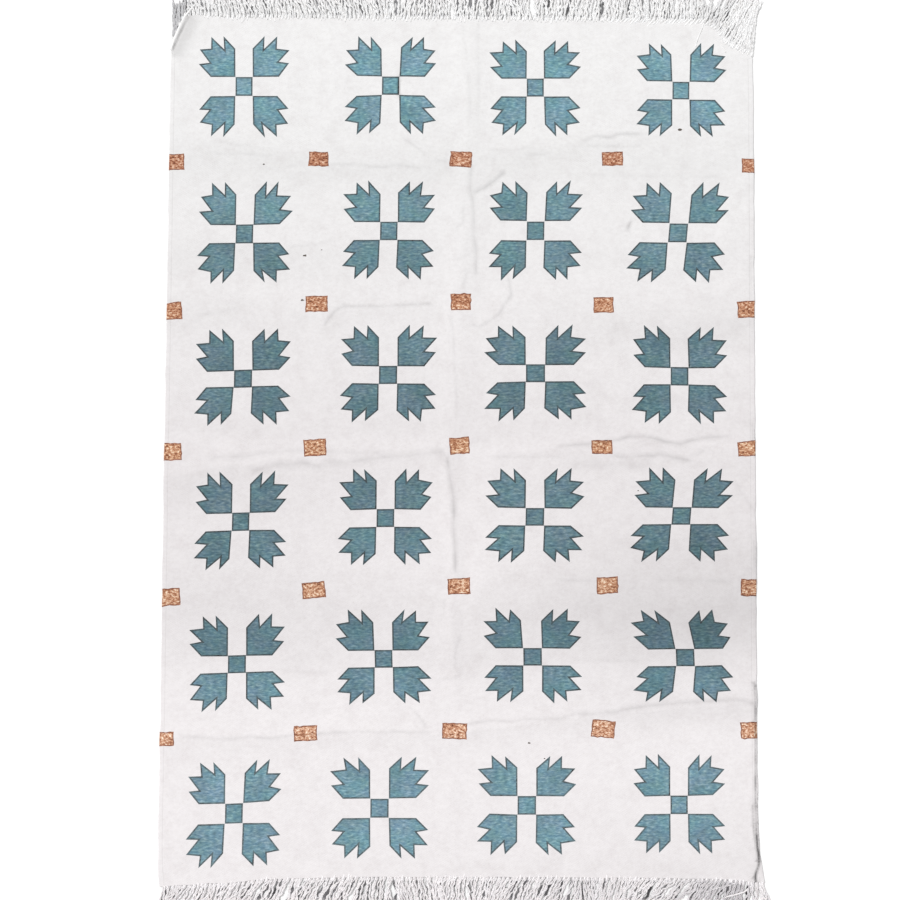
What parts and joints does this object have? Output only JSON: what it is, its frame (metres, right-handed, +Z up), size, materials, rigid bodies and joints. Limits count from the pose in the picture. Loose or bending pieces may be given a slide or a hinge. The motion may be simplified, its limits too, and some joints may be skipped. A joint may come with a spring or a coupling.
{
  "type": "cotton rug",
  "caption": "Flat-woven rectangular cotton rug with a patterned face and loose fringe along both short ends, for lying on a floor.",
  "frame": {"origin": "on the floor, under the middle of the rug's outline seen from above, fringes included", "axes": "+Z up from the floor, +Y along the rug toward the end shown at the top of the picture, +X across it to the right as seen from above"},
  "size_m": [1.2734, 1.9718, 0.0083],
  "materials": {
    "cloth": "matte flat-woven off-white cotton with teal and copper woven figures",
    "fringe": "matte loose off-white cotton warp yarn"
  },
  "bodies": {
    "root": {"rug_cloth": "cloth", "fringe_head": "fringe", "fringe_foot": "fringe"}
  },
  "joints": []
}
